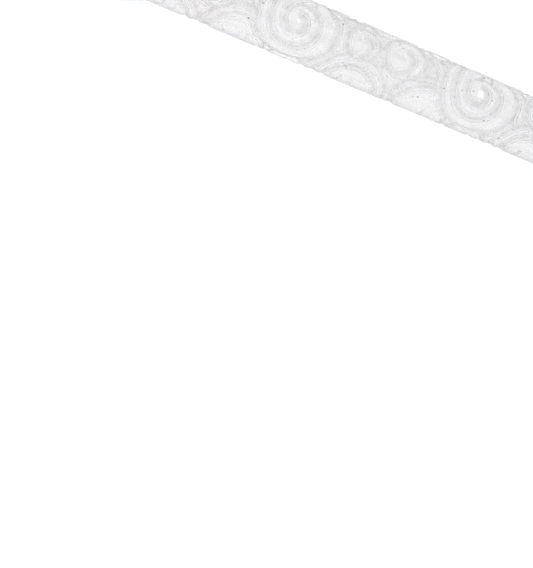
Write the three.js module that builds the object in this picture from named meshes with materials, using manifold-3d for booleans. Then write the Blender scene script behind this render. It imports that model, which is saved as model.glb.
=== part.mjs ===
// A small clear acrylic texture rolling pin, with layered swirls sunk into its barrel. The barrel
// is a thick walled moulded tube, closed at each end by a push-in plug.
// Units are millimetres. The barrel lies along X with its middle at the origin, and Z is up.

import * as THREE from 'three';
import { mergeVertices } from 'three/addons/utils/BufferGeometryUtils.js';
import Module from 'manifold-3d';

const wasm = await Module();
wasm.setup();

// Barrel
const barrelLength = 156;
const barrelDiameter = 20;
const boreDiameter = 10;
const rimRadius = 0.8;
const boreChamfer = 0.6;

// Relief: a V groove is the outline of each swirl, and another winds out through all but plain ones
const plainEndLength = 6;
const patternRepeat = 62.4;
const largestSwirlRadius = 13;
const grooveSpacing = 4.1;
const grooveWidth = 2.4;
const grooveDepth = 0.8;
const swirlCoreRadius = 2;
const longestStep = 3.6;
const joinGap = 0.45;
const leastLand = 2.4;

// End plugs
const flangeDiameter = 16;
const flangeThickness = 2.2;
const flangeEdgeRadius = 0.7;
const nailBevel = 0.6;
const spigotLength = 11;
const spigotWall = 1.3;
const ribHeight = 0.45;
const ribLength = 1.1;
const ribRamp = 0.5;
const ribSpacing = 2.9;
const firstRibDepth = 2.4;
const tipTaperLength = 1.6;
const tipTaperDepth = 0.7;
const cupFloorThickness = 1.4;
const plugClearance = 0.05;

// How far a cutting shape runs past the surface that it cuts
const cutOverrun = 0.5;

// Counts of flat sides, of ribs and of steps
const barrelSides = 24;
const ribCount = 3;
const roundingSteps = 3;
const fewestStepsPerTurn = 10;
const fewestStretchAngles = 3;
const coverHalvings = 20;

// The small turn on either side of a point over which a line's heading is taken, in radians
const headingStepAngle = 0.01;

// Every swirl of one repeat, from the lowest layer to the topmost: its middle along the repeat
// and round the barrel, and its radius, as shares of the repeat, of a turn and of the largest.
// A plain one has an outline round smooth acrylic and no arm
const swirlShares = [
  { along: 0.47, around: 0.27, radius: 1.3 },
  { along: 0.14, around: 0.58, radius: 1.3 },
  { along: 0.93, around: 0.98, radius: 1.25 },
  { along: 0.55, around: 0.93, radius: 1.1 },
  { along: 0.66, around: 0.46, radius: 0.95 },
  { along: 0.1, around: 0.87, radius: 0.62 },
  { along: 0.367, around: 0.775, radius: 0.9 },
  { along: 0.367, around: 0.775, radius: 0.64, plain: true },
  { along: 0.751, around: 0.805, radius: 0.94 },
  { along: 0.751, around: 0.805, radius: 0.71, plain: true },
  { along: 0.03, around: 0.705, radius: 0.5 },
  { along: 0.775, around: 0.6, radius: 0.6 },
  { along: 0.54, around: 0.635, radius: 0.46 },
  { along: 0.245, around: 0.52, radius: 0.52 },
  { along: 0.99, around: 0.435, radius: 0.92 },
  { along: 0.49, around: 0.355, radius: 1 },
  { along: 0.235, around: 0.255, radius: 0.42 },
  { along: 0.8, around: 0.245, radius: 0.55 },
  { along: 0.577, around: 0.06, radius: 0.54 },
  { along: 0.3475, around: 0.04, radius: 0.42 },
  { along: 0, around: 0.012, radius: 1 },
];
const firstRepeatShare = -0.41;
const turnShiftShare = 0.025;
const roundStretchShare = 1.06;
const armStartTurnShare = 0.18;
const armExitTurnShare = 0.3;
const shortestArmTurnShare = 0.25;
const armEndGapShare = 0.95;
const alongsideShare = 0.5;

const barrelRadius = barrelDiameter / 2;
const boreRadius = boreDiameter / 2;
const barrelGirth = Math.PI * barrelDiameter;
const halfRelief = barrelLength / 2 - plainEndLength;
const fullTurn = 2 * Math.PI;

// A closed solid from a three.js geometry, ready to be joined or cut
function solidFrom(geometry) {
  const bare = geometry.clone();
  bare.deleteAttribute('normal');
  bare.deleteAttribute('uv');
  const merged = mergeVertices(bare);
  const vertProperties = new Float32Array(merged.attributes.position.array);
  const triVerts = new Uint32Array(merged.index.array);
  return new wasm.Manifold(new wasm.Mesh({ numProp: 3, vertProperties, triVerts }));
}

// A three.js geometry from a solid that has been joined or cut
function geometryFrom(solid) {
  const mesh = solid.getMesh();
  const geometry = new THREE.BufferGeometry();
  geometry.setAttribute('position', new THREE.BufferAttribute(mesh.vertProperties, 3));
  geometry.setIndex(new THREE.BufferAttribute(mesh.triVerts, 1));
  geometry.computeVertexNormals();
  return geometry;
}

// Turns a profile of radius and place along the axis round X, with a flat side facing down
function revolveRoundX(profile) {
  const geometry = new THREE.LatheGeometry(profile, barrelSides, fullTurn / barrelSides / 2, fullTurn);
  geometry.rotateZ(-Math.PI / 2);
  return geometry;
}

// Points of a quarter round between two angles, about a middle given by radius and place
function roundedCorner(middleRadius, middleAlong, radius, fromAngle, toAngle) {
  const points = [];
  for (let step = 0; step <= roundingSteps; step += 1) {
    const angle = fromAngle + (toAngle - fromAngle) * step / roundingSteps;
    const pointRadius = middleRadius + radius * Math.cos(angle);
    points.push(new THREE.Vector2(pointRadius, middleAlong + radius * Math.sin(angle)));
  }
  return points;
}

// The plain barrel: outer wall, rounded rims, flat end rings and a bore with bevelled mouths
function makeTube() {
  const end = barrelLength / 2;
  const quarter = Math.PI / 2;
  const rimMiddle = barrelRadius - rimRadius;
  const profile = [
    new THREE.Vector2(boreRadius, -end + boreChamfer),
    new THREE.Vector2(boreRadius + boreChamfer, -end),
    ...roundedCorner(rimMiddle, -end + rimRadius, rimRadius, -quarter, 0),
    ...roundedCorner(rimMiddle, end - rimRadius, rimRadius, 0, quarter),
    new THREE.Vector2(boreRadius + boreChamfer, end),
    new THREE.Vector2(boreRadius, end - boreChamfer),
    new THREE.Vector2(boreRadius, -end + boreChamfer),
  ];
  return solidFrom(revolveRoundX(profile));
}

// The sleeve in which grooves may be cut, between the two plain ends
function makeReliefSleeve() {
  const outer = barrelRadius + 2 * cutOverrun;
  const profile = [
    new THREE.Vector2(boreRadius, -halfRelief),
    new THREE.Vector2(outer, -halfRelief),
    new THREE.Vector2(outer, halfRelief),
    new THREE.Vector2(boreRadius, halfRelief),
    new THREE.Vector2(boreRadius, -halfRelief),
  ];
  return solidFrom(revolveRoundX(profile));
}

// All swirls of the barrel from the lowest to the topmost, with places on the unrolled surface
function layOutSwirls() {
  const repeats = Math.ceil(halfRelief / patternRepeat) + 1;
  const swirls = [];
  for (const share of swirlShares) {
    for (let repeat = -repeats; repeat <= repeats; repeat += 1) {
      const along = (firstRepeatShare + share.along + repeat) * patternRepeat;
      const around = (share.around + repeat * turnShiftShare) * barrelGirth;
      const radius = share.radius * largestSwirlRadius;
      const inRelief = Math.abs(along) < halfRelief + radius;
      if (inRelief) swirls.push({ along, around, radius, plain: share.plain });
    }
  }
  return swirls;
}

// Whether a groove that passes a point of the unrolled surface is hidden by a swirl: the point
// lies under it, or the groove runs beside its outline with too little land between them
function isHiddenBy(swirl, point, heading) {
  let around = (point.y - swirl.around) / barrelGirth;
  around = (around - Math.round(around)) * barrelGirth / roundStretchShare;
  const offset = new THREE.Vector2(point.x - swirl.along, around);
  const gap = offset.length() - swirl.radius;
  const alongside = Math.abs(offset.normalize().dot(heading)) < alongsideShare;
  return gap < (alongside ? leastLand : joinGap);
}

// Angle at which the arm of a swirl leaves its even spacing and swings out to the outline
function armExitAngle(swirl) {
  const room = swirl.radius - armEndGapShare * grooveSpacing - swirlCoreRadius;
  return fullTurn * Math.max(shortestArmTurnShare, room / grooveSpacing);
}

// Radius of a swirl's arm: it grows by one groove spacing a turn, then eases out to the outline
function armRadius(swirl, angle) {
  const even = swirlCoreRadius + grooveSpacing * angle / fullTurn;
  const beyond = (angle - armExitAngle(swirl)) / (fullTurn * armExitTurnShare);
  return THREE.MathUtils.lerp(even, swirl.radius, THREE.MathUtils.smoothstep(beyond, 0, 1));
}

// A stretch of groove on the unrolled surface, x along the barrel and y round it, with its
// steps at given angles about the middle of a swirl
class GrooveLine extends THREE.Curve {
  constructor(swirl, radiusAt, angles) {
    super();
    this.swirl = swirl;
    this.radiusAt = radiusAt;
    this.angles = angles;
  }

  pointAtAngle(angle) {
    const radius = this.radiusAt(this.swirl, angle);
    const heading = fullTurn * armStartTurnShare - angle;
    const along = this.swirl.along + radius * Math.cos(heading);
    const around = this.swirl.around + radius * roundStretchShare * Math.sin(heading);
    return new THREE.Vector3(along, around, 0);
  }

  headingAtAngle(angle) {
    const before = this.pointAtAngle(angle - headingStepAngle);
    const after = this.pointAtAngle(angle + headingStepAngle);
    return new THREE.Vector2(after.x - before.x, after.y - before.y).normalize();
  }

  getPoint(share) {
    const place = share * (this.angles.length - 1);
    const step = Math.min(Math.floor(place), this.angles.length - 2);
    const angle = THREE.MathUtils.lerp(this.angles[step], this.angles[step + 1], place - step);
    return this.pointAtAngle(angle);
  }

  getUtoTmapping(share) {
    return share;
  }
}

// The angles at which one line of a swirl is stepped, close together where it is wide
function stepAngles(swirl, radiusAt, firstAngle, lastAngle) {
  const angles = [0];
  while (angles.at(-1) < lastAngle - firstAngle) {
    const radius = radiusAt(swirl, firstAngle + angles.at(-1));
    angles.push(angles.at(-1) + Math.min(fullTurn / fewestStepsPerTurn, longestStep / radius));
  }
  const fit = (lastAngle - firstAngle) / angles.at(-1);
  return angles.map((angle) => firstAngle + angle * fit);
}

// The angle between two steps at which a line passes out of sight
function coverAngle(isOpenAt, openAngle, coveredAngle) {
  let open = openAngle;
  let covered = coveredAngle;
  for (let halving = 0; halving < coverHalvings; halving += 1) {
    const middle = (open + covered) / 2;
    if (isOpenAt(middle)) open = middle;
    else covered = middle;
  }
  return open;
}

// Splits one line of a swirl into the stretches that no higher swirl hides
function openStretches(swirl, radiusAt, firstAngle, lastAngle, higher) {
  const angles = stepAngles(swirl, radiusAt, firstAngle, lastAngle);
  const line = new GrooveLine(swirl, radiusAt, angles);
  const isOpenAt = (angle) => isOpen(line, angle, higher);
  const stretches = [[]];
  angles.forEach((angle, step) => {
    const open = isOpenAt(angle);
    const wasOpen = stretches.at(-1).length > 0;
    const previous = angles[step - 1];
    if (open && !wasOpen && step > 0) stretches.at(-1).push(coverAngle(isOpenAt, angle, previous));
    if (open) stretches.at(-1).push(angle);
    if (!open && wasOpen) {
      stretches.at(-1).push(coverAngle(isOpenAt, previous, angle));
      stretches.push([]);
    }
  });
  const kept = stretches.filter((stretch) => stretch.length >= fewestStretchAngles);
  return kept.map((stretch) => new GrooveLine(swirl, radiusAt, stretch));
}

// Whether a line is in the relief and in sight at an angle
function isOpen(line, angle, higher) {
  const point = line.pointAtAngle(angle);
  const heading = line.headingAtAngle(angle);
  const inRelief = Math.abs(point.x) < halfRelief + grooveWidth;
  return inRelief && !higher.some((cover) => isHiddenBy(cover, point, heading));
}

// The outline of a swirl as stretches. An outline in full view is two halves that share a step
function outlineStretches(swirl, higher) {
  const radiusAt = (ring) => ring.radius;
  const angles = stepAngles(swirl, radiusAt, 0, fullTurn);
  const line = new GrooveLine(swirl, radiusAt, angles);
  const hiddenAngle = angles.find((angle) => !isOpen(line, angle, higher));
  if (hiddenAngle !== undefined) {
    return openStretches(swirl, radiusAt, hiddenAngle, hiddenAngle + fullTurn, higher);
  }
  const middle = Math.floor(angles.length / 2);
  const firstHalf = angles.slice(0, middle + 1);
  const secondHalf = [...angles.slice(middle - 1), fullTurn + angles[1]];
  return [firstHalf, secondHalf].map((half) => new GrooveLine(swirl, radiusAt, half));
}

// Bends a shape from the unrolled surface round the barrel; z is its height over the surface
function wrapRoundBarrel(geometry) {
  const position = geometry.attributes.position;
  for (let index = 0; index < position.count; index += 1) {
    const angle = position.getY(index) / barrelRadius;
    const radius = barrelRadius + position.getZ(index);
    position.setY(index, radius * Math.sin(angle));
    position.setZ(index, radius * Math.cos(angle));
  }
  return geometry;
}

// The cutter for one stretch: a V that is as wide as the groove where it meets the surface
function makeGrooveCutter(line) {
  const halfTop = grooveWidth / 2 * (1 + cutOverrun / grooveDepth);
  const section = new THREE.Shape([
    new THREE.Vector2(-cutOverrun, -halfTop),
    new THREE.Vector2(grooveDepth, 0),
    new THREE.Vector2(-cutOverrun, halfTop),
  ]);
  const steps = line.angles.length - 1;
  const sweep = new THREE.ExtrudeGeometry(section, { steps, bevelEnabled: false, extrudePath: line });
  return solidFrom(wrapRoundBarrel(sweep));
}

// The barrel with every open groove cut into it
function makeBarrel() {
  const swirls = layOutSwirls();
  const lines = swirls.flatMap((swirl, layer) => {
    const higher = swirls.slice(layer + 1);
    const armEnd = armExitAngle(swirl) + fullTurn * armExitTurnShare;
    const arm = swirl.plain ? [] : openStretches(swirl, armRadius, 0, armEnd, higher);
    return [...arm, ...outlineStretches(swirl, higher)];
  });
  const cutters = lines.map(makeGrooveCutter).reduce((joined, cutter) => joined.add(cutter));
  return geometryFrom(makeTube().subtract(cutters.intersect(makeReliefSleeve())));
}

// One barb of the spigot: a rib with a sloped leading side and a square back
function ribProfile(depth) {
  const ribRadius = boreRadius - plugClearance;
  return [
    new THREE.Vector2(ribRadius - ribHeight, -depth),
    new THREE.Vector2(ribRadius, -depth),
    new THREE.Vector2(ribRadius, -depth - ribLength + ribRamp),
    new THREE.Vector2(ribRadius - ribHeight, -depth - ribLength),
  ];
}

// A push-in plug: a flat flange, and a ribbed spigot that is a hollow cup inside. Its profile
// has the barrel's end face at zero and the flange on the positive side
function makePlug() {
  const flangeRadius = flangeDiameter / 2;
  const spigotRadius = boreRadius - plugClearance - ribHeight;
  const cupRadius = spigotRadius - spigotWall;
  const edgeMiddle = flangeRadius - flangeEdgeRadius;
  const ribDepths = Array.from({ length: ribCount }, (_, rib) => firstRibDepth + rib * ribSpacing);
  const profile = [
    new THREE.Vector2(0, -cupFloorThickness),
    new THREE.Vector2(cupRadius, -cupFloorThickness),
    new THREE.Vector2(cupRadius, -spigotLength),
    new THREE.Vector2(spigotRadius - tipTaperDepth, -spigotLength),
    new THREE.Vector2(spigotRadius, -spigotLength + tipTaperLength),
    ...ribDepths.flatMap(ribProfile).reverse(),
    new THREE.Vector2(spigotRadius, 0),
    new THREE.Vector2(flangeRadius - nailBevel, 0),
    new THREE.Vector2(flangeRadius, nailBevel),
    ...roundedCorner(edgeMiddle, flangeThickness - flangeEdgeRadius, flangeEdgeRadius, 0, Math.PI / 2),
    new THREE.Vector2(0, flangeThickness),
  ];
  return revolveRoundX(profile);
}

function makeMesh(name, geometry, colour) {
  const mesh = new THREE.Mesh(geometry, new THREE.MeshStandardMaterial(colour));
  mesh.name = name;
  return mesh;
}

const clearAcrylic = { color: 0xf4f6f6, roughness: 0.06, metalness: 0 };
const softPlastic = { color: 0xe9ecec, roughness: 0.45, metalness: 0 };

const group = new THREE.Group();
group.add(makeMesh('barrel', makeBarrel(), clearAcrylic));

const rightPlug = makeMesh('right_end_plug', makePlug(), softPlastic);
rightPlug.position.x = barrelLength / 2;
group.add(rightPlug);

const leftPlug = makeMesh('left_end_plug', makePlug().rotateZ(Math.PI), softPlastic);
leftPlug.position.x = -barrelLength / 2;
group.add(leftPlug);

export default group;
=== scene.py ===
# A clear acrylic texture rolling pin, lying on a pale studio floor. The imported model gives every
# piece its place. Lengths are in metres; the barrel lies along X and Z is up.

import math

import bpy
import numpy as np
from mathutils import Matrix, Vector


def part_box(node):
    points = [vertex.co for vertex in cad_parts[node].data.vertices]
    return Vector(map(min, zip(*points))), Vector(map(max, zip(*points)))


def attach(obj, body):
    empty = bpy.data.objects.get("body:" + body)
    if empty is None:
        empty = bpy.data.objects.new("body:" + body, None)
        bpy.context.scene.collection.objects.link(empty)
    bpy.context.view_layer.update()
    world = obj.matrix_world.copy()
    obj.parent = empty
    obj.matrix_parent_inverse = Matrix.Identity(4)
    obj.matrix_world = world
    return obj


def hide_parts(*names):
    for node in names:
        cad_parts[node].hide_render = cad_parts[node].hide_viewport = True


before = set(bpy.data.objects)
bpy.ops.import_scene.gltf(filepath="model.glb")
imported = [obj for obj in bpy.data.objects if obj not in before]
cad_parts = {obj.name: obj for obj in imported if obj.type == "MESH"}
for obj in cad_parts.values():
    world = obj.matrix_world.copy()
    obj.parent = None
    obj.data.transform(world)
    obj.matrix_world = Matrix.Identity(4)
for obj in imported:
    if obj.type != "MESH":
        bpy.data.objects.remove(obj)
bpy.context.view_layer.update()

mm = 0.001


# Camera: it looks down on the pin from the side of the left end, turned so that the barrel runs
# down to the right across the upper right corner of the picture.

image_width = 533
focal_pixels = 1600
sensor_width = 36
nearest_seen = 0.01
farthest_seen = 20
camera_place = Vector((-124.07, -84.06, 481.8)) * mm
camera_forward = Vector((0.2429, 0.0146, -0.9699)).normalized()
camera_up = Vector((-0.3474, 0.9349, -0.0729))

camera_data = bpy.data.cameras.new("studio_camera")
camera_data.sensor_fit = "HORIZONTAL"
camera_data.sensor_width = sensor_width
camera_data.lens = sensor_width * focal_pixels / image_width
camera_data.clip_start = nearest_seen
camera_data.clip_end = farthest_seen
camera = bpy.data.objects.new("studio_camera", camera_data)
camera_right = camera_forward.cross(camera_up).normalized()
camera_above = camera_right.cross(camera_forward)
camera_turn = Matrix((camera_right, camera_above, -camera_forward)).transposed()
camera.matrix_world = Matrix.Translation(camera_place) @ camera_turn.to_4x4()
bpy.context.scene.collection.objects.link(camera)
bpy.context.scene.camera = camera


# Barrel: one thick walled tube moulded in clear acrylic. Spirals are sunk into its skin in layers,
# each hiding part of the ones under it, and the wall bends what is seen through them.

barrel_low, barrel_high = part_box("barrel")
barrel_length = barrel_high.x - barrel_low.x
barrel_radius = barrel_high.z
half_length = barrel_length / 2
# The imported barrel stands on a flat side, so it is a little lower than the round that it is drawn
# from. The bore and the flanges shrink by the same share.
drawn_radius = 10 * mm
flats_share = barrel_radius / drawn_radius
bore_radius = 5 * mm * flats_share
rim_radius = 0.8 * mm
bore_chamfer = 0.6 * mm
plain_end_length = 6 * mm
half_relief = half_length - plain_end_length
relief_fade_length = 0.35 * mm
pattern_repeat = 62.4 * mm
largest_swirl_radius = 13 * mm
groove_spacing = 4.1 * mm
groove_width = 3.2 * mm
groove_depth = 0.42 * mm
swirl_core_radius = 2 * mm
first_repeat_share = -0.41
turn_shift_share = 0.025
round_stretch_share = 1.06
arm_start_turn_share = 0.18
arm_exit_turn_share = 0.3
shortest_arm_turn_share = 0.25
arm_end_gap_share = 0.95
full_turn = 2 * math.pi

# Place along the repeat, place round the barrel and radius of each swirl, lowest layer first, as
# shares of the repeat, of a turn and of the largest swirl. A plain one has smooth acrylic inside its
# outline and no arm. A clear core is free of painted shade and shows the bright floor, and every
# other repeat has a duller one, where the painted shade comes nearer its middle.
swirl_shares = [
    (0.47, 0.27, 1.3), (0.14, 0.58, 1.3), (0.93, 0.98, 1.25), (0.55, 0.93, 1.1), (0.66, 0.46, 0.95),
    (0.1, 0.87, 0.62), (0.367, 0.775, 0.9), (0.367, 0.775, 0.64), (0.751, 0.805, 0.94),
    (0.751, 0.805, 0.71), (0.03, 0.705, 0.5), (0.775, 0.6, 0.6), (0.54, 0.635, 0.46),
    (0.245, 0.52, 0.52), (0.99, 0.435, 0.92), (0.49, 0.355, 1), (0.235, 0.255, 0.42),
    (0.8, 0.245, 0.55), (0.577, 0.06, 0.54), (0.3475, 0.04, 0.42), (0, 0.012, 1),
]
plain_layers = (7, 9)
clear_core_layers = (14, 15, 20)
dull_core_gap = 0.6 * mm


def arm_exit_angle(radius):
    """Angle at which a swirl's arm leaves its even spacing: what is left inside the outline, over
    the spacing, in turns."""
    room = radius - arm_end_gap_share * groove_spacing - swirl_core_radius
    return full_turn * max(shortest_arm_turn_share, room / groove_spacing)


def arm_radius(angle, radius):
    """Radius of the arm: the core plus one spacing for each turn, then a smooth step out to the
    outline."""
    even = swirl_core_radius + groove_spacing * angle / full_turn
    beyond = (angle - arm_exit_angle(radius)) / (full_turn * arm_exit_turn_share)
    beyond = np.clip(beyond, 0, 1)
    return even + (radius - even) * beyond * beyond * (3 - 2 * beyond)


def groove_profile(beside):
    """Depth of the relief at a distance beside the middle line of the nearest groove: one wave of
    a cosine, deepest on the line and level with the barrel past half the groove's width."""
    share = np.clip(1 - beside / (groove_width / 2), 0, 1)
    return groove_depth * (1 - np.cos(share * math.pi)) / 2


def groove_distance(along, angle):
    """Distance of points of the unrolled barrel from the middle line of the nearest groove, and from
    the clear core of the swirl on top there. Each swirl in turn wipes out what lies under it, then
    adds its own spiral and outline. A swirl without a clear core gives one spacing for the second,
    and a dull core adds a gap to it."""
    beside = np.full_like(along, groove_spacing)
    from_core = np.full_like(along, groove_spacing)
    reach = int(math.ceil(half_length / pattern_repeat)) + 1
    start_heading = full_turn * arm_start_turn_share
    for layer, (share_along, share_around, share_radius) in enumerate(swirl_shares):
        radius = share_radius * largest_swirl_radius
        arm_end = arm_exit_angle(radius) + full_turn * arm_exit_turn_share
        for repeat in range(-reach, reach + 1):
            middle = (first_repeat_share + share_along + repeat) * pattern_repeat
            near = np.abs(along[:, 0] - middle) < radius + groove_spacing
            if not near.any():
                continue
            turn_share = angle[near] / full_turn - share_around - repeat * turn_shift_share
            turn_share = turn_share - np.round(turn_share)
            across = along[near] - middle
            around = turn_share * full_turn * barrel_radius / round_stretch_share
            distance = np.hypot(across, around)
            unwound = (start_heading - np.arctan2(around, across)) % full_turn
            arm_gap = np.hypot(
                across - swirl_core_radius * math.cos(start_heading),
                around - swirl_core_radius * math.sin(start_heading),
            )
            core_gap = distance + dull_core_gap * (1 - repeat % 2)
            if layer not in clear_core_layers:
                core_gap = np.full_like(across, groove_spacing)
            if layer in plain_layers:
                arm_gap = np.full_like(across, largest_swirl_radius)
                arm_end = 0
            while unwound.min() < arm_end:
                gap = np.abs(distance - arm_radius(unwound, radius))
                arm_gap = np.where(unwound <= arm_end, np.minimum(arm_gap, gap), arm_gap)
                unwound = unwound + full_turn
            lines = np.where(distance < radius, arm_gap, beside[near])
            beside[near] = np.minimum(lines, np.abs(distance - radius))
            from_core[near] = np.where(distance < radius, core_gap, from_core[near])
    return beside, from_core


def grid_mesh(name, rings, sharp_rings, closed):
    """A mesh over rings of points round the axis. A closed one joins its last ring to the first,
    and an open one ends in a fan on the middle of its first and of its last ring."""
    rows, columns = rings.shape[:2]
    here = np.arange(rows * columns).reshape(rows, columns)
    beside = np.roll(here, -1, axis=1)
    pairs = rows if closed else rows - 1
    after = (np.arange(pairs) + 1) % rows
    quads = np.stack([here[:pairs], here[after], beside[after], beside[:pairs]], axis=-1)
    quads = quads.reshape(-1, 4)
    points = rings.reshape(-1, 3)
    fans = np.zeros((0, 3), int)
    if not closed:
        points = np.concatenate([points, [rings[0].mean(axis=0), rings[-1].mean(axis=0)]])
        poles = np.full((2, columns), rows * columns) + [[0], [1]]
        fans = np.concatenate([
            np.stack([here[0], beside[0], poles[0]], axis=-1),
            np.stack([beside[-1], here[-1], poles[1]], axis=-1),
        ])
    mesh = bpy.data.meshes.new(name)
    mesh.vertices.add(len(points))
    mesh.vertices.foreach_set("co", points.reshape(-1).astype(np.float32))
    mesh.loops.add(quads.size + fans.size)
    corners = np.concatenate([quads.reshape(-1), fans.reshape(-1)])
    mesh.loops.foreach_set("vertex_index", corners.astype(np.int32))
    mesh.polygons.add(len(quads) + len(fans))
    starts = np.concatenate([np.arange(0, quads.size, 4), quads.size + np.arange(0, fans.size, 3)])
    mesh.polygons.foreach_set("loop_start", starts.astype(np.int32))
    mesh.polygons.foreach_set("use_smooth", np.ones(len(starts), bool))
    mesh.update(calc_edges=True)
    ends = np.zeros(len(mesh.edges) * 2, np.int32)
    mesh.edges.foreach_get("vertices", ends)
    ring_of_end = ends.reshape(-1, 2) // columns
    sharp = (ring_of_end[:, 0] == ring_of_end[:, 1]) & np.isin(ring_of_end[:, 0], sharp_rings)
    mesh.attributes.new("sharp_edge", "BOOLEAN", "EDGE").data.foreach_set("value", sharp)
    return mesh


def rounded_corner(middle_along, middle_radius, radius, first_angle, last_angle, steps):
    """Points of an arc between two angles: middle plus radius times sine along the axis and
    cosine away from it."""
    angles = np.linspace(first_angle, last_angle, steps + 1)
    along = middle_along + radius * np.sin(angles)
    from_axis = middle_radius + radius * np.cos(angles)
    return np.stack([along, from_axis], axis=1)


def hex_colour(text):
    """Linear colour of an sRGB hex value: each channel's share of 255, with the sRGB curve undone,
    which is straight for the darkest shares and a power of 2.4 above them."""
    shares = np.array([int(text[start:start + 2], 16) for start in (1, 3, 5)]) / 255
    linear = np.where(shares <= 0.04045, shares / 12.92, ((shares + 0.055) / 1.055) ** 2.4)
    return (*linear.tolist(), 1.0)


def add_node(tree, kind, settings=(), links=()):
    """Adds a node, sets what settings names, as inputs or as the node's own values, and joins
    its inputs to the given sockets."""
    node = tree.nodes.new(kind)
    for key, value in dict(settings).items():
        if isinstance(key, int) or key in node.inputs:
            node.inputs[key].default_value = value
        else:
            setattr(node, key, value)
    for key, socket in dict(links).items():
        tree.links.new(socket, node.inputs[key])
    return node


def new_material(name):
    """An empty node material and its tree."""
    material = bpy.data.materials.new(name)
    material.use_nodes = True
    material.node_tree.nodes.clear()
    return material, material.node_tree


round_steps = 192
relief_steps = 480
land_steps = 5
bore_steps = 8
corner_steps = 6
skin_tolerance = 1e-6
quarter = full_turn / 4
rim_middle = barrel_radius - rim_radius
outer_along = np.concatenate([
    np.linspace(-half_length + rim_radius, -half_relief, land_steps + 1)[1:-1],
    np.linspace(-half_relief, half_relief, relief_steps + 1),
    np.linspace(half_relief, half_length - rim_radius, land_steps + 1)[1:-1],
])
outer = np.stack([outer_along, np.full_like(outer_along, barrel_radius)], axis=1)
bore_along = np.linspace(half_length - bore_chamfer, -half_length + bore_chamfer, bore_steps + 1)
bore = np.stack([bore_along, np.full_like(bore_along, bore_radius)], axis=1)
mouth_radius = bore_radius + bore_chamfer
profile = np.concatenate([
    [[-half_length, mouth_radius]],
    rounded_corner(-half_length + rim_radius, rim_middle, rim_radius, -quarter, 0, corner_steps),
    outer,
    rounded_corner(half_length - rim_radius, rim_middle, rim_radius, 0, quarter, corner_steps),
    [[half_length, mouth_radius]],
    bore,
])
round_angles = np.arange(round_steps) * full_turn / round_steps
along_grid, angle_grid = np.meshgrid(profile[:, 0], round_angles, indexing="ij")
beside_grid, core_grid = groove_distance(along_grid, angle_grid)
from_middle = np.abs(profile[:, 0])
on_skin = (profile[:, 1] > barrel_radius - skin_tolerance) & (from_middle <= half_relief)
edge_room = np.clip((half_relief - from_middle) / relief_fade_length, 0, 1)
relief_share = np.repeat((on_skin * edge_room)[:, None], round_steps, axis=1)
relief_depth = groove_profile(beside_grid) * relief_share
radius_grid = profile[:, 1][:, None] - relief_depth
barrel_points = np.stack([
    along_grid,
    radius_grid * np.sin(angle_grid),
    radius_grid * np.cos(angle_grid),
], axis=-1)
mouth_rows = [0, len(profile) - len(bore) - 1, len(profile) - len(bore), len(profile) - 1]
barrel_mesh = grid_mesh("moulded_barrel", barrel_points, mouth_rows, closed=True)
for record_name, record in (
    ("groove_distance", beside_grid), ("core_distance", core_grid), ("relief_share", relief_share),
):
    kept = barrel_mesh.attributes.new(record_name, "FLOAT", "POINT")
    kept.data.foreach_set("value", record.reshape(-1).astype(np.float32))
barrel = bpy.data.objects.new("moulded_barrel", barrel_mesh)
bpy.context.scene.collection.objects.link(barrel)

# Clear acrylic, moulded and polished: refractive index 1.49 and next to no colour. The cutter left
# fine rings in the mould, and use leaves hair scratches that blur a highlight a little.
acrylic, acrylic_tree = new_material("moulded_clear_acrylic")
acrylic_index = 1.49
acrylic_place = add_node(acrylic_tree, "ShaderNodeTexCoord")
acrylic_rays = add_node(acrylic_tree, "ShaderNodeLightPath")
beside_groove = add_node(acrylic_tree, "ShaderNodeAttribute", {"attribute_name": "groove_distance"})
beside_core = add_node(acrylic_tree, "ShaderNodeAttribute", {"attribute_name": "core_distance"})
textured = add_node(acrylic_tree, "ShaderNodeAttribute", {"attribute_name": "relief_share"})

# Scuffs come in patches that roughen the polish from 0.015 to 0.07 and break up the painted shade.
scuff_size = 2.2 * mm
scuff_detail = 4.0
scuff_breakup = 0.6
first_scuff = 0.35
full_scuff = 0.7
polished_roughness = 0.015
scuffed_roughness = 0.07
scuff_and_shade_patches = add_node(
    acrylic_tree, "ShaderNodeTexNoise",
    {"Scale": 1 / scuff_size, "Detail": scuff_detail, "Roughness": scuff_breakup},
    {"Vector": acrylic_place.outputs["Object"]},
)
rough = add_node(
    acrylic_tree, "ShaderNodeMapRange",
    {"From Min": first_scuff, "From Max": full_scuff,
     "To Min": polished_roughness, "To Max": scuffed_roughness},
    {"Value": scuff_and_shade_patches.outputs["Fac"]},
)

# The cutter's rings run beside each groove: a low riser in the middle of each ring, which fades out
# away from the groove and stops at a clear core. They are spaced wider than real ones, so that they
# show in the render.
tool_line_spacing = 0.85 * mm
tool_line_height = 0.36 * mm
tool_line_reach = 2.6 * mm
riser_start = 0.38
riser_end = 0.62
clear_core_radius = 0.9 * mm
core_edge_radius = 1.5 * mm
line_count = add_node(
    acrylic_tree, "ShaderNodeMath", {"operation": "DIVIDE", 1: tool_line_spacing},
    {0: beside_groove.outputs["Fac"]},
)
line_share = add_node(
    acrylic_tree, "ShaderNodeMath", {"operation": "FRACT"}, {0: line_count.outputs[0]},
)
riser = add_node(
    acrylic_tree, "ShaderNodeMapRange",
    {"interpolation_type": "SMOOTHSTEP", "From Min": riser_start, "From Max": riser_end},
    {"Value": line_share.outputs[0]},
)
line_lift = add_node(
    acrylic_tree, "ShaderNodeMath", {"operation": "SUBTRACT"},
    {0: riser.outputs["Result"], 1: line_share.outputs[0]},
)
line_fade = add_node(
    acrylic_tree, "ShaderNodeMapRange",
    {"interpolation_type": "SMOOTHSTEP", "From Min": tool_line_reach / 2,
     "From Max": tool_line_reach, "To Min": 1.0, "To Max": 0.0},
    {"Value": beside_groove.outputs["Fac"]},
)
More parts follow.
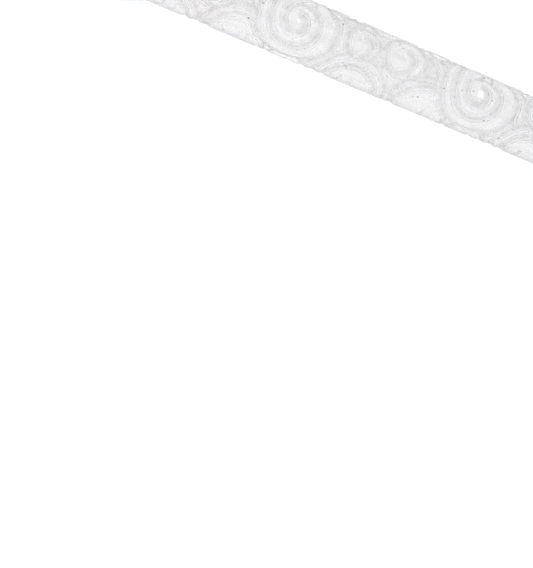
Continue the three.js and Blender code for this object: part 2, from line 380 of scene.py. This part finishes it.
line_share_kept = add_node(
    acrylic_tree, "ShaderNodeMath", {"operation": "MULTIPLY"},
    {0: line_fade.outputs["Result"], 1: textured.outputs["Fac"]},
)
core_share = add_node(
    acrylic_tree, "ShaderNodeMapRange",
    {"interpolation_type": "SMOOTHSTEP", "From Min": clear_core_radius,
     "From Max": core_edge_radius, "To Min": 1.0, "To Max": 0.0},
    {"Value": beside_core.outputs["Fac"]},
)
lines_outside_core = add_node(
    acrylic_tree, "ShaderNodeMix", {"data_type": "FLOAT", 3: 0.0},
    {0: core_share.outputs["Result"], 2: line_share_kept.outputs[0]},
)
line_height = add_node(
    acrylic_tree, "ShaderNodeMath", {"operation": "MULTIPLY"},
    {0: line_lift.outputs[0], 1: lines_outside_core.outputs[0]},
)

# Painted shade: the walls of a groove send some light aside, so its floor is painted greyer, and
# most so round a clear core. Its middle line is painted darker still, in patches.
floor_half_width = 0.5 * mm
floor_edge = 1.8 * mm
groove_floor_shade = 0.33
dark_arc_radius = 2.4 * mm
dark_arc_extra = 1.1
middle_half_width = 0.05 * mm
middle_edge = 0.42 * mm
first_patch = 0.4
full_line_patch = 0.6
faintest_middle = 0.55
in_groove = add_node(
    acrylic_tree, "ShaderNodeMapRange",
    {"interpolation_type": "SMOOTHSTEP", "From Min": floor_half_width, "From Max": floor_edge,
     "To Min": groove_floor_shade, "To Max": 0.0},
    {"Value": beside_groove.outputs["Fac"]},
)
near_core = add_node(
    acrylic_tree, "ShaderNodeMapRange",
    {"interpolation_type": "SMOOTHSTEP", "From Min": dark_arc_radius, "From Max": groove_spacing,
     "To Min": dark_arc_extra, "To Max": 0.0},
    {"Value": beside_core.outputs["Fac"]},
)
in_core_groove = add_node(
    acrylic_tree, "ShaderNodeMath", {"operation": "MULTIPLY_ADD"},
    {0: in_groove.outputs["Result"], 1: near_core.outputs["Result"], 2: in_groove.outputs["Result"]},
)
on_middle = add_node(
    acrylic_tree, "ShaderNodeMapRange",
    {"interpolation_type": "SMOOTHSTEP", "From Min": middle_half_width, "From Max": middle_edge,
     "To Min": 1.0, "To Max": 0.0},
    {"Value": beside_groove.outputs["Fac"]},
)
middle_patches = add_node(
    acrylic_tree, "ShaderNodeMapRange",
    {"interpolation_type": "SMOOTHSTEP", "From Min": first_patch, "From Max": full_line_patch,
     "To Min": faintest_middle, "To Max": 1.0},
    {"Value": scuff_and_shade_patches.outputs["Fac"]},
)
painted_middle_shade = add_node(
    acrylic_tree, "ShaderNodeMath", {"operation": "MULTIPLY"},
    {0: on_middle.outputs["Result"], 1: middle_patches.outputs["Result"]},
)
darker = add_node(
    acrylic_tree, "ShaderNodeMath", {"operation": "MAXIMUM"},
    {0: in_core_groove.outputs[0], 1: painted_middle_shade.outputs[0]},
)
painted_groove_shade = add_node(
    acrylic_tree, "ShaderNodeMath", {"operation": "MULTIPLY"},
    {0: darker.outputs[0], 1: textured.outputs["Fac"]},
)

# Each of the cutter's rings gets a thin grey line of painted shade on its riser, in patches.
half_ring = 0.5
ring_edge = 0.3
full_ring_patch = 0.56
ring_wave = add_node(
    acrylic_tree, "ShaderNodeMath", {"operation": "PINGPONG", 1: half_ring},
    {0: line_count.outputs[0]},
)
ring_line = add_node(
    acrylic_tree, "ShaderNodeMapRange",
    {"interpolation_type": "SMOOTHSTEP", "From Min": ring_edge, "From Max": half_ring},
    {"Value": ring_wave.outputs[0]},
)
ring_patches = add_node(
    acrylic_tree, "ShaderNodeMapRange",
    {"interpolation_type": "SMOOTHSTEP", "From Min": first_patch, "From Max": full_ring_patch},
    {"Value": scuff_and_shade_patches.outputs["Fac"]},
)
ring_kept = add_node(
    acrylic_tree, "ShaderNodeMath", {"operation": "MULTIPLY"},
    {0: ring_patches.outputs["Result"], 1: lines_outside_core.outputs[0]},
)
painted_ring_shade = add_node(
    acrylic_tree, "ShaderNodeMath", {"operation": "MULTIPLY"},
    {0: ring_line.outputs["Result"], 1: ring_kept.outputs[0]},
)
painted_skin_shade = add_node(
    acrylic_tree, "ShaderNodeMath", {"operation": "MAXIMUM"},
    {0: painted_groove_shade.outputs[0], 1: painted_ring_shade.outputs[0]},
)
# The painted shade turns the skin from pale grey towards a darker grey.
painted_shade_colour = add_node(
    acrylic_tree, "ShaderNodeMix",
    {"data_type": "RGBA", 6: hex_colour("#E0DFE1"), 7: hex_colour("#B0ABAC")},
    {0: painted_skin_shade.outputs[0]},
)

# Small bubbles and grit caught in the skin show as dark specks under 0.8 mm across.
speck_spacing = 3.2 * mm
speck_radius = 0.38 * mm
speck_dark_radius = speck_radius / 2
specks = add_node(
    acrylic_tree, "ShaderNodeTexVoronoi", {"Scale": 1 / speck_spacing},
    {"Vector": acrylic_place.outputs["Object"]},
)
speck_share = add_node(
    acrylic_tree, "ShaderNodeMapRange",
    {"interpolation_type": "SMOOTHSTEP", "From Min": speck_dark_radius / speck_spacing,
     "From Max": speck_radius / speck_spacing, "To Min": 1.0, "To Max": 0.0},
    {"Value": specks.outputs["Distance"]},
)
speck_colour = add_node(
    acrylic_tree, "ShaderNodeMix", {"data_type": "RGBA", 7: hex_colour("#4E4D52")},
    {0: speck_share.outputs["Result"], 6: painted_shade_colour.outputs[2]},
)

# The painted shade and the specks are all on the first skin that is met, and none of them on a
# clear core or on a face met from then on, because they would add up with each of them.
clear_share = add_node(
    acrylic_tree, "ShaderNodeMix", {"data_type": "FLOAT", 2: 1.0},
    {0: acrylic_rays.outputs["Is Camera Ray"], 3: core_share.outputs["Result"]},
)
shade_and_speck_tint = add_node(
    acrylic_tree, "ShaderNodeMix", {"data_type": "RGBA", 7: hex_colour("#FFFFFF")},
    {0: clear_share.outputs[0], 6: speck_colour.outputs[2]},
)

# The faces met later blur what is seen through them, as the real far side and bore do.
far_side_blur = 0.22
inner = add_node(
    acrylic_tree, "ShaderNodeMath", {"operation": "SUBTRACT", 0: 1.0},
    {1: acrylic_rays.outputs["Is Camera Ray"]},
)
inner_rough = add_node(
    acrylic_tree, "ShaderNodeMath", {"operation": "MULTIPLY_ADD", 1: far_side_blur},
    {0: inner.outputs[0], 2: rough.outputs["Result"]},
)

# The rings bend light where the skin faces the eye and fade towards grazing sight. Under them lies
# a slight ripple, which moulded acrylic has everywhere.
even_facing = 0.5
rings_fade_start = 0.15
rings_fade_end = 0.45
grazing_ring_strength = 0.25
ripple_size = 1.1 * mm
ripple_height = 0.01 * mm
ripple_detail = 2.0
ripple_breakup = 0.5
facing = add_node(acrylic_tree, "ShaderNodeLayerWeight", {"Blend": even_facing})
frontal = add_node(
    acrylic_tree, "ShaderNodeMapRange",
    {"interpolation_type": "SMOOTHSTEP", "From Min": rings_fade_start,
     "From Max": rings_fade_end, "To Min": 1.0, "To Max": grazing_ring_strength},
    {"Value": facing.outputs["Facing"]},
)
ring_strength = add_node(
    acrylic_tree, "ShaderNodeMath", {"operation": "MULTIPLY"},
    {0: frontal.outputs["Result"], 1: acrylic_rays.outputs["Is Camera Ray"]},
)
ring_bump = add_node(
    acrylic_tree, "ShaderNodeBump", {"Distance": tool_line_height},
    {"Height": line_height.outputs[0], "Strength": ring_strength.outputs[0]},
)
ripple = add_node(
    acrylic_tree, "ShaderNodeTexNoise",
    {"Scale": 1 / ripple_size, "Detail": ripple_detail, "Roughness": ripple_breakup},
    {"Vector": acrylic_place.outputs["Object"]},
)
ripple_bump = add_node(
    acrylic_tree, "ShaderNodeBump",
    {"Strength": 1.0, "Distance": ripple_height},
    {"Height": ripple.outputs["Fac"], "Normal": ring_bump.outputs["Normal"]},
)
clear = add_node(
    acrylic_tree, "ShaderNodeBsdfPrincipled",
    {"Transmission Weight": 1.0, "IOR": acrylic_index},
    {"Base Color": shade_and_speck_tint.outputs[2], "Roughness": inner_rough.outputs[0],
     "Normal": ripple_bump.outputs["Normal"]},
)

# Towards its edges the barrel is painted a little grey for the camera: painted shade for the dark
# outline that glass shows at a grazing angle.
edge_start = 0.35
edge_end = 0.85
painted_edge_shade_share = 0.34
grazing = add_node(
    acrylic_tree, "ShaderNodeMapRange",
    {"interpolation_type": "SMOOTHSTEP", "From Min": edge_start, "From Max": edge_end,
     "To Min": 0.0, "To Max": painted_edge_shade_share},
    {"Value": facing.outputs["Facing"]},
)
edge_share = add_node(
    acrylic_tree, "ShaderNodeMath", {"operation": "MULTIPLY"},
    {0: grazing.outputs["Result"], 1: acrylic_rays.outputs["Is Camera Ray"]},
)
painted_edge_shade = add_node(acrylic_tree, "ShaderNodeBsdfDiffuse", {"Color": hex_colour("#A6A4A5")})
acrylic_skin = add_node(
    acrylic_tree, "ShaderNodeMixShader", {},
    {0: edge_share.outputs[0], 1: clear.outputs[0], 2: painted_edge_shade.outputs[0]},
)

# Lamp light passes straight through to the floor. Light that has turned back inside the wall three
# times is let out there, where it would otherwise be lost and leave black spots.
most_inner_reflections = 3
let_through = add_node(
    acrylic_tree, "ShaderNodeBsdfTransparent", {"Color": hex_colour("#FDFDFD")},
)
trapped = add_node(
    acrylic_tree, "ShaderNodeMath",
    {"operation": "GREATER_THAN", 1: most_inner_reflections - 0.5},
    {0: acrylic_rays.outputs["Glossy Depth"]},
)
let_out = add_node(
    acrylic_tree, "ShaderNodeMath", {"operation": "MAXIMUM"},
    {0: acrylic_rays.outputs["Is Shadow Ray"], 1: trapped.outputs[0]},
)
surface = add_node(
    acrylic_tree, "ShaderNodeMixShader", {},
    {0: let_out.outputs[0], 1: acrylic_skin.outputs[0], 2: let_through.outputs[0]},
)
add_node(acrylic_tree, "ShaderNodeOutputMaterial", {}, {"Surface": surface.outputs[0]})
barrel_mesh.materials.append(acrylic)
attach(barrel, "barrel")
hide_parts("barrel")


# End plugs: soft moulded polyethylene, pushed into the bore. A flat flange covers the barrel's end,
# and a hollow ribbed spigot grips inside.

flange_radius = 8 * mm * flats_share
flange_thickness = 2.2 * mm
flange_edge_radius = 0.7 * mm
nail_bevel = 0.6 * mm
spigot_length = 11 * mm
spigot_wall = 1.3 * mm
rib_height = 0.45 * mm
rib_length = 1.1 * mm
rib_ramp = 0.5 * mm
rib_spacing = 2.9 * mm
first_rib_depth = 2.4 * mm
rib_count = 3
tip_taper_length = 1.6 * mm
tip_taper_depth = 0.7 * mm
cup_floor_thickness = 1.4 * mm
plug_clearance = 0.05 * mm

rib_radius = bore_radius - plug_clearance
spigot_radius = rib_radius - rib_height
cup_radius = spigot_radius - spigot_wall
ribs = []
for rib in reversed(range(rib_count)):
    depth = first_rib_depth + rib * rib_spacing
    ribs += [
        [-depth - rib_length, spigot_radius],
        [-depth - rib_length + rib_ramp, rib_radius],
        [-depth, rib_radius],
        [-depth, spigot_radius],
    ]
flange_edge = rounded_corner(
    flange_thickness - flange_edge_radius, flange_radius - flange_edge_radius,
    flange_edge_radius, 0, quarter, corner_steps,
)
plug_profile = np.concatenate([
    [[-cup_floor_thickness, cup_radius], [-spigot_length, cup_radius]],
    [[-spigot_length, spigot_radius - tip_taper_depth]],
    [[-spigot_length + tip_taper_length, spigot_radius]],
    ribs,
    [[0, spigot_radius], [0, flange_radius - nail_bevel], [nail_bevel, flange_radius]],
    flange_edge,
])
sharp_rings = np.arange(len(plug_profile) - len(flange_edge))
plug_steps = 96
plug_angles = np.arange(plug_steps) * full_turn / plug_steps

# Natural low-density polyethylene from a satin mould: milky, because light runs 2.5 mm through it,
# with a fine grain that keeps its gloss soft.
polyethylene, polyethylene_tree = new_material("moulded_soft_polyethylene")
polyethylene_index = 1.51
satin_roughness = 0.42
milky_share = 0.8
milky_depth = 2.5 * mm
grain_size = 0.5 * mm
grain_height = 0.02 * mm
grain_detail = 3.0
grain_strength = 0.5
polyethylene_place = add_node(polyethylene_tree, "ShaderNodeTexCoord")
grain = add_node(
    polyethylene_tree, "ShaderNodeTexNoise",
    {"Scale": 1 / grain_size, "Detail": grain_detail},
    {"Vector": polyethylene_place.outputs["Object"]},
)
grain_bump = add_node(
    polyethylene_tree, "ShaderNodeBump", {"Strength": grain_strength, "Distance": grain_height},
    {"Height": grain.outputs["Fac"]},
)
soft = add_node(
    polyethylene_tree, "ShaderNodeBsdfPrincipled",
    {"Base Color": hex_colour("#EEF1F1"), "Roughness": satin_roughness, "IOR": polyethylene_index,
     "Subsurface Weight": milky_share, "Subsurface Radius": (1, 1, 1),
     "Subsurface Scale": milky_depth},
    {"Normal": grain_bump.outputs["Normal"]},
)
add_node(polyethylene_tree, "ShaderNodeOutputMaterial", {}, {"Surface": soft.outputs[0]})

for plug_name, body, node, direction in (
    ("left_push_in_plug", "left_plug", "left_end_plug", -1),
    ("right_push_in_plug", "right_plug", "right_end_plug", 1),
):
    along_grid, angle_grid = np.meshgrid(
        plug_profile[:, 0], plug_angles * direction, indexing="ij",
    )
    radius_grid = np.repeat(plug_profile[:, 1][:, None], plug_steps, axis=1)
    plug_points = np.stack([
        direction * (half_length + along_grid),
        radius_grid * np.sin(angle_grid),
        radius_grid * np.cos(angle_grid),
    ], axis=-1)
    plug_mesh = grid_mesh(plug_name, plug_points, sharp_rings, closed=False)
    plug = bpy.data.objects.new(plug_name, plug_mesh)
    bpy.context.scene.collection.objects.link(plug)
    plug_mesh.materials.append(polyethylene)
    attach(plug, body)
    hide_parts(node)


# Studio: a sheet of white paper under the pin, a soft lamp on each side and a white room round it.

floor_size = 3
half_floor = floor_size / 2
floor_corners = [(-1, -1), (1, -1), (1, 1), (-1, 1)]
floor_mesh = bpy.data.meshes.new("studio_floor")
floor_mesh.from_pydata(
    [(along * half_floor, across * half_floor, -barrel_radius) for along, across in floor_corners],
    [], [(0, 1, 2, 3)],
)
floor = bpy.data.objects.new("studio_floor", floor_mesh)
bpy.context.scene.collection.objects.link(floor)

# White paper, uncoated and matt. The camera sees it lifted to white by a little light of its own,
# with the pin's shadow kept. Seen in or through the acrylic, most of its brightness is its own
# light, which keeps the acrylic free of grain, and is a little stronger in front of the pin.
paper_seen_lift = 0.31
paper_light_in_front = 0.94
paper_light_behind = 0.85
bright_front = -20 * mm
bright_end = -4 * mm
paper, paper_tree = new_material("white_studio_paper")
paper_rays = add_node(paper_tree, "ShaderNodeLightPath")
seen_lift = add_node(
    paper_tree, "ShaderNodeMath", {"operation": "MULTIPLY", 1: paper_seen_lift},
    {0: paper_rays.outputs["Is Camera Ray"]},
)
mirrored = add_node(
    paper_tree, "ShaderNodeMath", {"operation": "MAXIMUM"},
    {0: paper_rays.outputs["Is Glossy Ray"], 1: paper_rays.outputs["Is Transmission Ray"]},
)
paper_place = add_node(paper_tree, "ShaderNodeTexCoord")
paper_sides = add_node(
    paper_tree, "ShaderNodeSeparateXYZ", {}, {"Vector": paper_place.outputs["Object"]},
)
own_light = add_node(
    paper_tree, "ShaderNodeMapRange",
    {"From Min": bright_front, "From Max": bright_end,
     "To Min": paper_light_in_front, "To Max": paper_light_behind},
    {"Value": paper_sides.outputs["Y"]},
)
lift = add_node(
    paper_tree, "ShaderNodeMath", {"operation": "MULTIPLY_ADD"},
    {0: mirrored.outputs[0], 1: own_light.outputs["Result"], 2: seen_lift.outputs[0]},
)
paper_colour = add_node(
    paper_tree, "ShaderNodeMix",
    {"data_type": "RGBA", 6: hex_colour("#F0F0F0"), 7: hex_colour("#808080")},
    {0: mirrored.outputs[0]},
)
paper_shader = add_node(
    paper_tree, "ShaderNodeBsdfPrincipled",
    {"Roughness": 1.0, "Specular IOR Level": 0.0, "Emission Color": hex_colour("#FFFFFF")},
    {"Base Color": paper_colour.outputs[2], "Emission Strength": lift.outputs[0]},
)
add_node(paper_tree, "ShaderNodeOutputMaterial", {}, {"Surface": paper_shader.outputs[0]})
floor_mesh.materials.append(paper)


def soft_lamp(name, place, size, power, colour):
    """A square area lamp at a place, facing the middle of the pin."""
    data = bpy.data.lights.new(name, "AREA")
    data.shape = "SQUARE"
    data.size = size
    data.energy = power
    data.color = hex_colour(colour)[:3]
    lamp = bpy.data.objects.new(name, data)
    lamp.location = place
    lamp.rotation_euler = (-Vector(place)).to_track_quat("-Z", "Y").to_euler()
    bpy.context.scene.collection.objects.link(lamp)


soft_lamp("soft_lamp_front", place=(0.1, -1.6, 1.8), size=2.0, power=11, colour="#E6EFFF")
soft_lamp("soft_lamp_back", place=(-0.1, 1.6, 1.8), size=1.2, power=7.5, colour="#FFF6EC")

# The room's walls are white and its ceiling is grey. The camera sees plain white.
room_strength = 0.84
walls_end = 0.6
ceiling_start = 0.95
ceiling_grey = 0.72
world = bpy.data.worlds.new("white_room")
bpy.context.scene.world = world
world.use_nodes = True
world_tree = world.node_tree
world_tree.nodes.clear()
room_place = add_node(world_tree, "ShaderNodeTexCoord")
room_sides = add_node(
    world_tree, "ShaderNodeSeparateXYZ", {}, {"Vector": room_place.outputs["Generated"]},
)
room_colour = add_node(
    world_tree, "ShaderNodeMapRange",
    {"From Min": walls_end, "From Max": ceiling_start, "To Min": 1.0, "To Max": ceiling_grey},
    {"Value": room_sides.outputs["Z"]},
)
room_rays = add_node(world_tree, "ShaderNodeLightPath")
room_light = add_node(
    world_tree, "ShaderNodeBackground", {"Strength": room_strength},
    {"Color": room_colour.outputs["Result"]},
)
room_seen = add_node(
    world_tree, "ShaderNodeBackground", {"Strength": 1.0, "Color": hex_colour("#FFFFFF")},
)
room_mix = add_node(
    world_tree, "ShaderNodeMixShader", {},
    {0: room_rays.outputs["Is Camera Ray"], 1: room_light.outputs[0], 2: room_seen.outputs[0]},
)
add_node(world_tree, "ShaderNodeOutputWorld", {}, {"Surface": room_mix.outputs[0]})

bpy.context.scene.view_settings.view_transform = "Standard"
